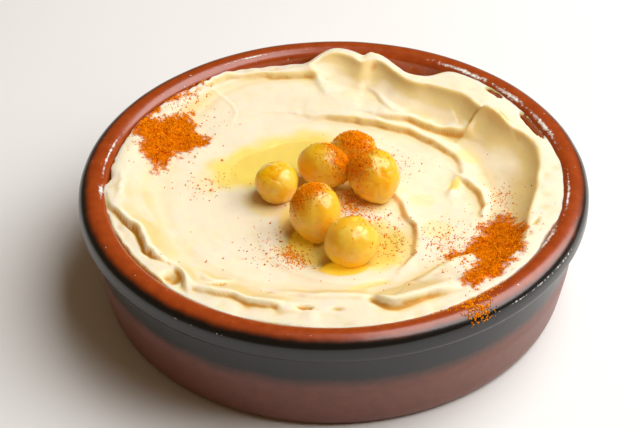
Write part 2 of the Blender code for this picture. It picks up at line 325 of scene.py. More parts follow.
# The bank's outer edge: degrees from +X and radius. It dips where slits part it from the
# dish and where bites are missing, and runs over the lip's inner side in between.
EDGE = (
    (0, 59.0), (8, 58.8), (15, 58.6), (22, 58.4), (28, 58.7), (34, 58.5), (40, 58.6), (46, 58.6), (52, 58.9),
    (57, 58.3), (60, 56.6),
    (64, 55.6), (69, 56.0), (74, 57.6), (78, 58.4), (79.5, 59.6), (81, 57.6), (84, 58.6), (87, 59.8), (91, 58.7),
    (95, 56.0), (98, 55.2), (103, 56.6), (108, 57.2), (120, 57.4), (129, 56.8), (142, 56.8), (151, 57.0),
    (163, 57.2), (172, 56.9), (180, 57.1), (184, 59.6), (189, 59.4), (195, 57.6), (200, 57.4), (211, 57.1),
    (221, 57.3), (231, 58.2), (244, 58.4), (256, 57.9), (270, 58.0), (283, 58.6), (293, 58.9), (301, 57.4),
    (309, 57.7), (319, 57.6), (325, 58.5), (331, 57.0), (337, 57.2), (344, 59.0), (351, 59.3),
)

# Folds drawn by the spoon: rise, width of the steep side, width of the gentle side, and
# the line of the crest. The steep side is on the left along the line. Some are grooves.
FOLDS = {
    "inner_swirl": (1.5, 0.7, 6.0, ((34.5, 7), (33.5, 13), (29, 19.8), (22, 25), (12, 29.7), (0, 32), (-9, 33.5))),
    "outer_swirl": (1.9, 0.7, 3.4, ((37, 27.5), (34, 25.5), (29, 26.5), (21, 30.5), (11, 33.5))),
    "cusp": (1.8, 0.6, 4.5, ((34, 23.5), (36.5, 26.5), (39.5, 28.6), (42.5, 28.2), (45, 25.5), (47, 21.5))),
    "right_shoulder": (1.5, 0.7, 2.6, ((38, -11), (38.6, -4), (36.5, 2), (32.5, 8))),
    "pocket_side": (0.9, 0.9, 2.0, ((30.5, -2), (31.2, 3), (33, 8))),
    "well_side": (1.3, 0.6, 3.6, ((16, -33), (19.5, -27), (20.5, -19), (19.3, -10), (16.5, -2), (13, 4))),
    "back_fold": (0.6, 0.6, 3.5, ((16, 34.7), (14.3, 38.6), (12.5, 42.5), (10.7, 45.3))),
    "back_peak": (0.7, 1.2, 3.5, ((-1, 42), (-4, 48), (-6, 52))),
    "back_left_brink": (1.0, 0.5, 3.0, ((-3, 47), (-6, 50), (-14, 50), (-23, 49.4), (-30, 47.6), (-38, 43))),
    "crescent": (0.3, 0.4, 0.5, ((-36.6, 43.5), (-33, 43.2), (-30, 41.5), (-27.8, 38.4), (-26.4, 33.9), (-27.5, 28))),
    "left_arc": (0.25, 0.6, 3.0, ((-40, -20), (-43.4, -16), (-45.5, -13), (-48.5, -6.6), (-50, -1.5), (-49, 4))),
    "left_brim": (0.6, 0.5, 2.0, ((-54.6, -6.9), (-53.8, -4.7), (-54.6, -1.4), (-54.6, 4))),
    "left_ledge": (
        2.2, 0.5, 4.5,
        ((-40.5, -31.5), (-42.2, -30.1), (-43.8, -28.3), (-45.4, -27.1), (-46.5, -24.3), (-47.6, -21.6),
         (-49.2, -18.8), (-50.7, -17.9), (-52.9, -15.1), (-55.1, -11.3), (-56.6, -8)),
    ),
    "left_ledge_foot": (-0.9, 0.6, 0.6, ((-43, -30.6), (-46.2, -27.6), (-48.4, -22), (-51.6, -17.8), (-54, -14.6))),
    "front_left_fin": (1.6, 0.5, 1.3, ((-35.2, -43.5), (-35, -41), (-35.4, -39), (-36.4, -36.8), (-38.4, -34))),
    "front_left_ledge": (
        1.4, 0.6, 3.6,
        ((-9, -51), (-12.6, -51.2), (-14.3, -50.1), (-17.2, -49.3), (-20.6, -48.2), (-23.8, -46.2), (-28.2, -45.1),
         (-31.9, -43.9), (-34.5, -40.5)),
    ),
    "front_left_wave": (0.7, 0.8, 2.5, ((-24.4, -36.7), (-26.6, -39.2), (-30, -38.5), (-33, -34))),
    "front_wave": (0.9, 1.2, 3.0, ((8.5, -46.5), (6.2, -44.6), (1.3, -44.4), (-6, -44), (-16, -42))),
    "curl": (
        1.8, 0.9, 3.2,
        ((30, -43.9), (26.8, -45), (21.4, -46.6), (16, -48.8), (13.1, -49.4), (11, -48.6), (10.2, -46.8), (11.2, -44.4)),
    ),
    "curl_hollow": (
        -0.7, 1.0, 1.0,
        ((10.2, -42.4), (8.9, -45), (8.9, -47.6), (10.6, -50.2), (13.4, -50.9), (17, -50), (21, -48.3), (26, -46.4)),
    ),
    "tongue": (2.6, 0.8, 4.5, ((19, -38.5), (24.3, -35), (28.6, -32), (32.8, -29.4), (36, -27.5))),
    "well_lip": (0.3, 0.8, 3.5, ((19, -33), (12, -35.5), (3, -36.3), (-6, -34), (-13, -29), (-17, -22), (-17.5, -11))),
}

# Small hollows pressed or torn into the paste: centre, half length, half width, turn in
# degrees and depth.
DENTS = (
    (-38.7, -38.2, 3.2, 3.8, 15, 1.2),
    (-27.2, -40.9, 2.8, 1.4, 10, 0.8),
    (-16.0, -42.5, 2.4, 1.0, -25, 0.4),
    (-7.0, -50.2, 2.8, 1.1, 0, 1.4),
    (0.8, -51.5, 2.2, 1.1, 0, 0.5),
    (8.3, -38.4, 5.5, 1.0, 16, 0.35),
    (31.0, 3.0, 3.2, 1.4, 70, 0.6),
    (50.5, -19.0, 2.5, 1.0, 70, 0.5),
)

# Slits where the paste has pulled off the dish, measured like the small hollows.
SLITS = (
    (52.5, 22.2, 6.8, 1.1, 113, 6.0),
    (43.5, 37.2, 3.4, 1.0, 130, 6.0),
)

# The wells that hold the oil: centre, half length, half width, turn in degrees, depth at
# the middle and level of the oil.
WELLS = {
    "olive_oil_front": (3.6, -21.2, 20.0, 13.6, -2.0, 1.4, 25.3),
    "olive_oil_back": (-15.0, 14.5, 20.5, 9.5, 28.0, 1.1, 25.75),
}


def measured_at(stations, angle):
    """The measures in a table of stations round the dish at each angle in degrees, eased between
    the stations."""
    stations = np.array(stations + ((stations[0][0] + 360, *stations[0][1:]),), float)
    angle = np.mod(angle - stations[0, 0], 360.0) + stations[0, 0]
    after = np.clip(np.searchsorted(stations[:, 0], angle, side="right"), 1, len(stations) - 1)
    around = np.concatenate([stations[-2:-1] - (360, *[0] * (stations.shape[1] - 1)), stations, stations[1:2] + (360, *[0] * (stations.shape[1] - 1))])
    slopes = (around[2:] - around[:-2])[:, 1:] / (around[2:] - around[:-2])[:, :1]
    low, high = stations[after - 1], stations[after]
    span = (high[..., 0] - low[..., 0])[..., None]
    share = (angle - low[..., 0])[..., None] / span
    lift, sink = ease(share) * (high - low)[..., 1:], share * (1.0 - share) * span
    bend = sink * ((1.0 - share) * slopes[after - 1] - share * slopes[after])
    return np.moveaxis(low[..., 1:] + lift + bend, -1, 0)


def crest_line(points, per_span=16):
    """A Catmull-Rom curve through the given points, as an array of x and y."""
    knots = np.array([points[0], *points, points[-1]], float)
    t = np.linspace(0.0, 1.0, per_span, endpoint=False)[:, None]
    spans = []
    for a, b, c, d in zip(knots, knots[1:], knots[2:], knots[3:]):
        cubic = (2 * a - 5 * b + 4 * c - d) * t**2 + (3 * b - a - 3 * c + d) * t**3
        spans.append(0.5 * (2 * b + (c - a) * t + cubic))
    return np.concatenate([*spans, knots[-1:]])


def fold(x, y, rise, steep, gentle, points):
    """Height of one fold: a steep bell on the left of its crest line and a long hollow slope on
    the right, so that the crest is crisp. It tapers towards both ends."""
    line = crest_line(points)
    reach = 4.0 * max(steep, gentle)
    near = (
        (x > line[:, 0].min() - reach)
        & (x < line[:, 0].max() + reach)
        & (y > line[:, 1].min() - reach)
        & (y < line[:, 1].max() + reach)
    )
    start, along = line[:-1], np.diff(line, axis=0)
    from_start = np.stack([x[near], y[near]], -1)[:, None, :] - start
    share = np.clip((from_start * along).sum(-1) / (along**2).sum(-1), 0.0, 1.0)
    offset = from_start - share[..., None] * along
    distance = np.hypot(offset[..., 0], offset[..., 1])
    nearest = distance.argmin(axis=1)
    rows = np.arange(len(nearest))
    aside, step = offset[rows, nearest], along[nearest]
    on_left = step[:, 0] * aside[:, 1] - step[:, 1] * aside[:, 0] > 0
    away = distance[rows, nearest]
    slope = np.where(on_left, np.exp(-((away / steep) ** 2)), np.exp(-((away / gentle) ** 1.25)))
    travelled = (nearest + share[rows, nearest]) / len(along)
    taper = np.sin(np.pi * np.clip(travelled, 0.02, 0.98)) ** 0.6
    height = np.zeros(x.shape)
    height[near] = rise * taper * slope
    return height


def across_oval(x, y, oval):
    """How far a point lies out in an oval, from 0 at its middle to 1 at its brim."""
    centre_x, centre_y, half_length, half_width, turned = oval[:5]
    cos, sin = np.cos(np.radians(turned)), np.sin(np.radians(turned))
    along = ((x - centre_x) * cos + (y - centre_y) * sin) / half_length
    aside = ((y - centre_y) * cos - (x - centre_x) * sin) / half_width
    return np.hypot(along, aside)


def hummus_height(x, y):
    """Height of the hummus: the level middle, the bank round it, the folds, the wells, the
    spoon's fine streaks and the paste's own grit."""
    radius, angle = np.hypot(x, y), np.arctan2(y, x)
    foot_radius, foot, crest_radius, crest, edge, hollow = measured_at(BANK, np.degrees(angle))
    (edge_radius,) = measured_at(EDGE, np.degrees(angle))
    cells = np.mod(angle, 2.0 * np.pi) * 32.0 / (2.0 * np.pi)
    ragged = lumps(np.stack([2.0 * cells, radius / 6.0], -1), seed=3)
    ragged += 0.6 * lumps(np.stack([4.0 * cells, radius / 3.0], -1), seed=4)
    around_dish = np.zeros_like(cells)
    climb = np.clip((radius - foot_radius) / (crest_radius - foot_radius), 0.0, 1.0)
    for fineness, reach, seed in ((1, 0.6, 28), (2, 0.35, 29)):
        crest_radius = crest_radius + reach * lumps(np.stack([fineness * cells, around_dish], -1), seed)
    brink = np.clip((radius - foot_radius) / (crest_radius - foot_radius), 0.0, 1.0)
    scoop = 0.75 * climb**1.3 + 0.25 * brink**10
    bank = (1.0 - hollow) * ease(climb) + hollow * scoop
    middle = SURFACE + SURFACE_TILT * y
    out = np.clip((radius - CENTRE_RADIUS) / (foot_radius - CENTRE_RADIUS), 0.0, 1.0)
    height = middle + (foot - middle) * out**1.5
    height += (crest - foot) * bank + 0.25 * ragged * ease((radius - crest_radius + 0.3) / 2.5)
    fall = np.clip((radius - crest_radius) / np.maximum(edge_radius - crest_radius, 1.0), 0.0, 1.0)
    height += (edge - crest) * fall**3
    flat = np.stack([x, y], -1)
    drift_x, drift_y = (0.6 * lumps(flat / 5.0, seed) + 0.3 * lumps(flat / 2.0, seed) for seed in (26, 27))
    for measures in FOLDS.values():
        height += fold(x + drift_x, y + drift_y, *measures)
    for oval in (*WELLS.values(), *DENTS):
        height -= oval[5] * np.clip(1.0 - across_oval(x + drift_x, y + drift_y, oval) ** 2, 0.0, None) ** 1.5
    for oval in SLITS:
        height -= oval[5] * np.sqrt(np.clip(1.0 - across_oval(x, y, oval) ** 2, 0.0, None))
    streaks = lumps(np.stack([cells, radius / 1.7], -1), seed=5)
    height += 0.03 * streaks * ease((radius - 14.0) / 16.0)
    for size, rise, seed in ((9.0, 0.18, 6), (3.0, 0.07, 7), (1.1, 0.02, 8)):
        height += rise * lumps(flat / size, seed)
    return height


def wall_radius(height):
    """Inner radius of the dish at a height: the straight wall, then the lip's inner round."""
    straight = (height - FLOOR - FLOOR_FILLET) / (WALL_TOP - FLOOR - FLOOR_FILLET)
    flare = np.clip((height - WALL_TOP) / (HEIGHT - WALL_TOP), 0.0, 1.0)
    on_lip = CREST_RADIUS - (CREST_RADIUS - WALL_TOP_RADIUS) * np.sqrt(1.0 - flare**2)
    on_wall = WALL_FOOT_RADIUS + (WALL_TOP_RADIUS - WALL_FOOT_RADIUS) * straight
    return np.where(height > WALL_TOP, on_lip, on_wall)


def hummus_rings():
    """The paste's surface: rings out over its top, rolled over its ragged edge, down to the
    wall and in along the floor."""
    steps = np.linspace(0.0, 2.0 * np.pi, HUMMUS_STEPS, endpoint=False)
    cells = steps * 32.0 / (2.0 * np.pi)
    (edge_radius,) = measured_at(EDGE, np.degrees(steps))
    for fineness, reach, seed in ((2, 0.25, 11), (4, 0.25, 12), (8, 0.2, 13)):
        edge_radius += reach * lumps(np.stack([fineness * cells, np.zeros_like(cells)], -1), seed)
    share = (np.arange(HUMMUS_RINGS) + 0.5)[:, None] / (HUMMUS_RINGS - 0.5)
    mean_edge = edge_radius.mean()
    top = around(share * mean_edge + (edge_radius - mean_edge) * share**6, steps, 0.0)
    top[..., 2] = hummus_height(top[..., 0], top[..., 1])
    brink = np.minimum(top[-1, :, 2], HEIGHT)
    side = []
    for out, down in ((0.25, 0.15), (0.42, 0.5), (0.5, 1.0), (0.5, 1.8)):
        side.append(around(edge_radius + out, steps, brink - down))
    for level in (brink - 3.0, np.full_like(brink, 20.0), np.full_like(brink, 12.0)):
        side.append(around(wall_radius(level) - 0.05, steps, level))
    side.append(around(WALL_FOOT_RADIUS - FLOOR_FILLET, steps, FLOOR + 0.3))
    return np.concatenate([top, side])


def blurred(heights, passes):
    """Heights on rings, each moved to a mean with its neighbours, again and again."""
    for _ in range(passes):
        heights = (np.roll(heights, 1, 1) + 2.0 * heights + np.roll(heights, -1, 1)) / 4.0
        padded = np.concatenate([heights[:1], heights, heights[-1:]])
        heights = (padded[:-2] + 2.0 * heights + padded[2:]) / 4.0
    return heights


def painted_shade(heights):
    """Painted shade on the paste, from 0 to 1: how far each point lies in a crease or in a
    broader hollow, by its depth below a narrow and a wide blur of the heights round it, or
    on a face that climbs steeply outwards, such as the bank's inner face."""
    crease = np.clip((blurred(heights, 7) - heights) / 0.3, 0.0, 1.0) ** 1.2
    broad = np.clip((blurred(heights, 60) - heights) / 1.2, 0.0, 0.6)
    rise = np.gradient(blurred(heights, 7), axis=0) / 0.4
    steep = 0.5 * ease((rise - 0.25) / 0.3)
    return np.maximum.reduce([crease, broad, steep])


# Where oil stands on or has soaked into the paste: centre, half length, half width, turn
# in degrees, and how strongly it shows. Over 1 it is painted light: a deeper gold that glows,
# laid in a chickpea's shadow for light that would shine through the chickpea.
OIL_AND_GLOW_OVALS = (
    (-15.5, 14.5, 22.5, 10.0, 28, 1.0),
    (3.6, -21.5, 17.5, 11.8, -2, 1.0),
    # Painted light: these two glowing ovals lie in the shadows of the two front chickpeas.
    (2.5, -29.5, 7.0, 4.5, 0, 1.7),
    (-8.0, -18.5, 4.0, 6.0, 0, 1.25),
    (22.5, -3.5, 4.0, 3.0, 10, 0.3),
    (26.0, -16.0, 5.0, 4.5, 50, 0.4),
    (35.5, 15.5, 4.0, 3.0, -50, 0.45),
    (31.5, 3.5, 3.5, 1.6, 70, 0.9),
    (8.5, -38.4, 6.0, 1.3, 16, 0.7),
    # These four round the chickpeas' feet are oil gathered there and also a golden tint painted where the chickpeas'
    # shadows fall.
    (-16.0, -3.5, 7.5, 7.0, 0, 0.5),
    (-2.0, 4.0, 9.0, 9.0, 0, 0.8),
    (8.0, 1.0, 9.0, 10.0, 0, 0.7),
    (-7.0, -12.0, 8.0, 9.0, 0, 0.9),
)


def oil_and_glow(x, y):
    """How much oil shows in the paste, with the painted glow in the chickpeas' shadows above 1,
    from 0 to 2: full inside each oval, fading over its outer quarter, with a wavering edge."""
    waver = 0.1 * lumps(np.stack([x, y], -1) / 4.0, seed=23)
    oil = np.zeros_like(x)
    for *oval, amount in OIL_AND_GLOW_OVALS:
        oil = np.maximum(oil, amount * ease((1.08 + waver - across_oval(x, y, oval)) / 0.4))
    return oil


def fine_powder(tree, place):
    """The finest paprika, which lies as a matt film of orange dust: a shader to lay over another."""
    drift = add(tree, "TexNoise", {"Vector": place, "Scale": per_metre(1.8), "Detail": 5.0})
    tone = add(tree, "MapRange", {"Value": drift, "From Min": 0.35, "From Max": 0.65})
    dust = add(tree, "MixRGB", {"Fac": tone, "Color1": colour("A82C00"), "Color2": colour("F28604")})
    return add(tree, "BsdfDiffuse", {"Color": dust})


def hummus_paste():
    """Chickpea and tahini paste, blended and smeared: soft light sinks in, so that edges glow
    cream, and oil gives it a moist sheen. Creases, hollows and steep faces get painted shade,
    beige to gold, and the chickpeas' shadows get painted light, a deeper gold that glows."""
    finish, tree, place = new_finish("chickpea and tahini paste")
    marks = {
        mark: add(tree, "Attribute", attribute_name=mark, take="Fac")
        for mark in ("hollow", "oil", "paprika")
    }
    cloud = add(tree, "TexNoise", {"Vector": place, "Scale": per_metre(14), "Detail": 3.0})
    grit = add(tree, "TexNoise", {"Vector": place, "Scale": per_metre(0.7), "Detail": 3.0})
    cream = add(tree, "MixRGB", {"Fac": cloud, "Color1": colour("F8E7C6"), "Color2": colour("FBEED6")})
    # Painted shade: by the hollow mark the cream darkens to beige on steep faces and to gold in creases and hollows.
    slope = add(tree, "MapRange", {"Value": marks["hollow"], "From Max": 0.5})
    crease = add(tree, "MapRange", {"Value": marks["hollow"], "From Min": 0.5})
    beige = add(tree, "MixRGB", {"Fac": slope, "Color1": cream, "Color2": colour("E9D08E")})
    painted_shade_colour = add(tree, "MixRGB", {"Fac": crease, "Color1": beige, "Color2": colour("DEA236")})
    wet = add(tree, "MapRange", {"Value": marks["oil"]})
    # Painted light: over 1 the oil mark turns the paste a deeper gold and makes it glow, in the chickpeas' shadows.
    painted_glow = add(tree, "MapRange", {"Value": marks["oil"], "From Min": 1.0, "From Max": 2.0})
    golden = add(tree, "MixRGB", {"Fac": wet, "Color1": painted_shade_colour, "Color2": colour("FFE07C")})
    oil_and_glow_colour = add(tree, "MixRGB", {"Fac": painted_glow, "Color1": golden, "Color2": colour("FFC81C")})
    painted_glow_strength = add(tree, "MapRange", {"Value": painted_glow, "To Max": 0.42})
    rough = add(tree, "MapRange", {"Value": wet, "To Min": 0.5, "To Max": 0.25})
    relief = add(tree, "Bump", {"Height": grit, "Strength": 0.2, "Distance": 0.15 * MM})
    shader = add(
        tree,
        "BsdfPrincipled",
        {
            "Base Color": oil_and_glow_colour,
            "Roughness": rough,
            "Normal": relief,
            "IOR": 1.45,
            "Subsurface Weight": 0.8,
            "Subsurface Radius": (1.0, 0.72, 0.25),
            "Subsurface Scale": 2.4 * MM,
            "Emission Color": colour("FFD41E"),
            "Emission Strength": painted_glow_strength,
        },
    )
    dusted_over = add(tree, "MixShader", {0: marks["paprika"], 1: shader, 2: fine_powder(tree, place)})
    add(tree, "OutputMaterial", {"Surface": dusted_over})
    return finish


# The thick dustings of paprika, as outlines round each, and the loose sprinkles:
# centre, half length, half width, turn in degrees and grains.
DUSTINGS = {
    "left": (
        (-54.5, 24.5), (-52.5, 28), (-49.5, 29.5), (-47, 28), (-43.5, 30.3), (-38.5, 33), (-36.5, 28), (-34, 23),
        (-31.5, 21), (-37.5, 16), (-41, 14), (-43.7, 10.5), (-46, 6.5), (-48.5, 10.5), (-50.8, 14), (-51.6, 19),
        (-54, 22),
    ),
    "left_rim": (
        (-54, 26), (-51, 31.5), (-48.6, 35.6), (-45.6, 39.8), (-41.5, 43.9), (-36.8, 46.6), (-35, 45), (-38.6, 39.4),
        (-41.8, 36.4), (-44.8, 33), (-48.4, 28.6),
    ),
    "right": (
        (38.5, -11), (42, -10.5), (45.5, -13.5), (47.5, -18), (48.5, -22), (46.5, -29), (44, -34), (41.5, -37.5),
        (38, -42), (34, -44), (29.5, -42.5), (32, -37), (34.5, -32.5), (33, -29), (29, -29.5), (26, -31.5),
        (28.5, -27), (32.5, -22.5), (36, -18.5),
    ),
}
SPRINKLES = (
    (-43.0, 22.0, 15.0, 12.0, 60, 260),
    (-32.0, 4.0, 9.0, 6.0, 20, 70),
    (-10.0, -25.5, 5.0, 3.5, -60, 330),
    (-13.0, -23.0, 9.0, 9.0, 0, 170),
    (38.0, -25.0, 17.0, 10.0, 70, 420),
    (27.0, -22.0, 10.0, 7.0, 80, 240),
    (43.0, -3.0, 4.0, 7.0, 0, 90),
    (-40.0, 38.0, 9.0, 5.0, 50, 160),
    (17.0, 12.0, 6.0, 6.0, 0, 70),
    (7.0, -10.0, 9.0, 5.0, 0, 170),
    (14.0, -20.0, 6.0, 8.0, 0, 130),
    (4.5, -4.5, 6.0, 4.0, -50, 330),
    (0.0, -20.0, 45.0, 30.0, 0, 60),
)


def depth_inside(x, y, outline):
    """Distance to a closed outline, positive inside it: the nearest side's distance, with its
    sign from how often a ray towards +X crosses the outline."""
    corners = np.array(outline, float)
    step = np.roll(corners, -1, axis=0) - corners
    offset = np.stack([x, y], -1)[..., None, :] - corners
    share = np.clip((offset * step).sum(-1) / (step**2).sum(-1), 0.0, 1.0)
    distance = np.linalg.norm(offset - share[..., None] * step, axis=-1).min(-1)
    spans = (offset[..., 1] >= 0) != (offset[..., 1] >= step[:, 1])
    slant = step[:, 0] / np.where(step[:, 1] == 0, 1.0, step[:, 1])
    crossed = spans & (offset[..., 0] < offset[..., 1] * slant)
    return np.where(crossed.sum(-1) % 2, distance, -distance)


def dusted(x, y):
    """How thickly the paprika lies, from 0 to 1: full inside the outlines, with an edge that
    coarse and fine noise break into clumps."""
    flat = np.stack([x, y], -1)
    clumps = np.zeros_like(x)
    for size, reach, seed in ((2.6, 1.4, 20), (1.1, 1.2, 21), (0.6, 0.9, 22)):
        clumps += reach * lumps(flat / size, seed)
    near = np.maximum.reduce([depth_inside(x, y, outline) for outline in DUSTINGS.values()])
    return np.clip((near + 0.5 + clumps) / 2.4, 0.0, 1.0) * (near > -3.0)


rings = hummus_rings()
x, y, z = np.moveaxis(rings, -1, 0)
# The hollow mark is painted shade; it fades away where oil shows.
hummus = closed_surface(
    "hummus_spread",
    rings,
    hummus_paste(),
    hollow=painted_shade(z) * (1.0 - np.minimum(oil_and_glow(x, y), 1.0)),
    oil=oil_and_glow(x, y),
    paprika=dusted(x, y),
)
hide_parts("hummus")

# Smears of paste left on the dish's lip: degrees from +X, half span in degrees, radius,
# half width and thickness.
SMEARS = (
    (50.0, 12.0, 59.3, 0.8, 0.1),
    (36.0, 9.0, 59.4, 0.8, 0.1),
    (20.0, 11.0, 59.5, 0.8, 0.1),
    (-10.0, 10.0, 59.8, 0.5, 0.15),
    (-27.0, 9.0, 58.9, 0.7, 0.15),
    (170.0, 13.0, 59.0, 0.4, 0.06),
    (185.0, 4.0, 59.0, 0.8, 0.15),
    (112.0, 10.0, 59.4, 0.35, 0.06),
)
SMEAR_RINGS = 10
SMEAR_STEPS = 160


def lip_height(radius):
    """Height of the dish's lip at a radius: its inner round up to the crest, then its outer."""
    inner = (CREST_RADIUS - radius) / (CREST_RADIUS - WALL_TOP_RADIUS)
    outer = (radius - CREST_RADIUS) / (RIM_RADIUS - CREST_RADIUS)
    rise = np.where(radius < CREST_RADIUS, HEIGHT - WALL_TOP, LIP_ROUND)
    across = np.clip(np.where(radius < CREST_RADIUS, inner, outer), 0.0, 1.0)
    return HEIGHT - rise * (1.0 - np.sqrt(1.0 - across**2))


def smear_rings(middle, half_span, radius, half_width, thickness):
    """A thin lens that follows the lip, drawn out along it, with a ragged edge, and how much of
    the film is left, from 1 in its middle to 0 at its edge."""
    steps = np.linspace(0.0, 2.0 * np.pi, SMEAR_STEPS, endpoint=False)
    share = np.linspace(0.06, 1.0, SMEAR_RINGS)
    share = np.concatenate([share, share[::-1]])[:, None]
    on_top = (np.arange(len(share)) < SMEAR_RINGS)[:, None]
    length = np.radians(half_span) * radius
    edge = np.stack([np.cos(steps) * length / 1.5, np.sin(steps) * half_width / 0.4], -1)
    reach = share * (1.0 + 0.3 * lumps(edge, seed=24) + 0.2 * lumps(2.3 * edge, seed=25))
    angle = np.radians(middle) + np.radians(half_span) * reach * np.cos(steps)
    out = radius + half_width * reach * np.sin(steps)
    rise = thickness * np.sqrt(np.clip(1.0 - share**2, 0.0, 1.0))
    rings = around(out, angle, lip_height(out) + np.where(on_top, rise, -0.1))
    return rings, np.broadcast_to(1.0 - share, out.shape)


def dried_film():
    """Paste wiped thin over the glaze and dried: chalky white, scratched and worn through, so
    that the glaze shows in between."""
    finish, tree, place = new_finish("dried film of paste")
    left = add(tree, "Attribute", attribute_name="left", take="Fac")
    scratch = add(tree, "TexNoise", {"Vector": place, "Scale": per_metre(1.2), "Detail": 6.0, "Roughness": 0.7})
    worn = add(tree, "Math", {0: left, 1: 0.35, 2: scratch}, operation="MULTIPLY_ADD")
    cover = add(tree, "MapRange", {"Value": worn, "From Min": 0.6, "From Max": 0.85})
    chalk = add(tree, "MixRGB", {"Fac": scratch, "Color1": colour("F6ECDA"), "Color2": colour("FFFCF6")})
    matt = add(tree, "BsdfDiffuse", {"Color": chalk})
    bare = add(tree, "BsdfTransparent")
    add(tree, "OutputMaterial", {"Surface": add(tree, "MixShader", {0: cover, 1: bare, 2: matt})})
    return finish


film = dried_film()
for number, smear in enumerate(SMEARS, 1):
    rings, left = smear_rings(*smear)
    closed_surface(f"hummus_smear_{number}", rings, film, left=left)

# ---- The chickpeas ----
# Six whole chickpeas, boiled until their skins turn loose and amber, laid in the middle.
# Each is a ball with a blunt beak and a shallow seam that runs up to it.

# Centre, radius, stretch along the beak, and the beak's heading and pitch in degrees.
CHICKPEAS = (
    (-14.4, -1.0, 30.2, 5.55, 1.00, 200, 35),
    (-2.5, 4.6, 31.2, 5.75, 1.2, -30, -6),
    (5.5, 13.0, 29.7, 5.25, 1.14, 172, 4),
    (10.4, 0.3, 31.2, 6.70, 1.03, -68, -35),
    (-4.5, -14.5, 31.2, 6.50, 1.12, -85, -50),
    (4.3, -25.3, 29.9, 6.55, 1.03, 25, -10),
)
BEAK_RISE = 0.13
BEAK_SPREAD = 0.36
SEAM_DEPTH = 0.05
SEAM_WIDTH = 0.16
CREASE_DEPTH = 0.032
CREASE_WIDTH = 0.13
SKIN_THICKNESS = 0.035
CHICKPEA_RINGS = 80
CHICKPEA_STEPS = 128

# The paprika on the chickpeas: which one, the way the dusted side faces, its spread in
# radians and its grains.
CHICKPEA_DUSTINGS = (
    (2, (0.75, -0.35, 0.55), 0.38, 760),
    (2, (0.45, 0.3, 0.85), 0.3, 260),
    (3, (0.1, -0.3, 0.95), 0.6, 1300),
    (4, (-0.6, -0.35, 0.72), 0.34, 700),
    (4, (-0.2, 0.3, 0.95), 0.3, 120),
    (5, (-0.15, 0.1, 1.0), 0.34, 640),
    (5, (-0.65, -0.2, 0.72), 0.26, 360),
    (6, (0.0, 0.2, 1.0), 0.9, 40),
)
# Where the skin of the first chickpea has torn away: the way it faces and its spread.
TORN = ((-0.3, -0.25, 0.92), 0.58)


def facing_share(directions, facing, spread):
    """How near each direction is to facing one way: 1 straight on, falling in a bell."""
    toward = np.array(facing) / np.linalg.norm(facing)
    return np.exp(-((np.arccos(np.clip(directions @ toward, -1.0, 1.0)) / spread) ** 2))


def torn(number, directions):
    """Where a chickpea's skin is gone, 1 inside a ragged edge. Only the first one is torn."""
    ragged = 0.16 * lumps(directions * 2.6 + 16.0, seed=30) + 0.08 * lumps(directions * 7.0 + 16.0, seed=31)
    return ease(5.0 * (facing_share(directions, *TORN) + ragged - 0.5) + 0.5) * (number == 1)


def skin_rim(number, directions):
    """How far a point lies on the loose rim of the torn skin: most at the back of the tear."""
    gone = torn(number, directions)
    return 2.8 * gone * (1.0 - gone) * ease(2.5 * directions[..., 1] + 0.6)


def chickpea_dust(number, directions):
    """How much of the skin the paprika covers, from 0 to 1, broken into clumps."""
    clumps = 0.5 * lumps(directions * 5.0 + 16.0, seed=32) + 0.4 * lumps(directions * 12.0 + 16.0, seed=33)
    cover = np.zeros(directions.shape[:-1])
    for dusted_number, facing, spread, grain_count in CHICKPEA_DUSTINGS:
        if dusted_number == number and grain_count > 100:
            cover = np.maximum(cover, facing_share(directions, facing, 1.25 * spread))
    return ease((cover * 1.5 + clumps - 0.45) / 0.9)


def chickpea_rings(number, directions):
    """Points of a chickpea in the given directions: a ball whose reach grows in a bell towards
    the beak, dips along the seam and in winding creases, and is less where the skin is torn."""
    place = CHICKPEAS[number - 1]
    centre, radius, stretch, heading, pitch = place[:3], *place[3:]
    yaw = Matrix.Rotation(np.radians(heading), 3, "Z")
    turned = np.array(yaw @ Matrix.Rotation(np.radians(-pitch), 3, "Y"))
    x, y, z = np.moveaxis(directions @ turned, -1, 0)
    from_beak = np.arccos(np.clip(x, -1.0, 1.0))
    reach = 1.0 + BEAK_RISE * np.exp(-((from_beak / BEAK_SPREAD) ** 2))
    reach -= SEAM_DEPTH * np.exp(-((y / SEAM_WIDTH) ** 2)) * ease(z) * ease(0.8 + x)
    local = np.stack([x, y, z], -1)
    winding = lumps(local * 1.9 + 16.0, seed=number + 40)
    reach -= CREASE_DEPTH * np.exp(-((winding / CREASE_WIDTH) ** 2)) * ease(0.6 + x)
    reach += 0.025 * lumps(local * 2.2 + 16.0, seed=number + 50)
    reach += 0.009 * lumps(local * 5.0 + 16.0, seed=number + 60)
    reach -= SKIN_THICKNESS * torn(number, directions)
    shaped = local * (reach * radius)[..., None] * (stretch, 1.0, 1.0)
    return shaped @ turned.T + centre


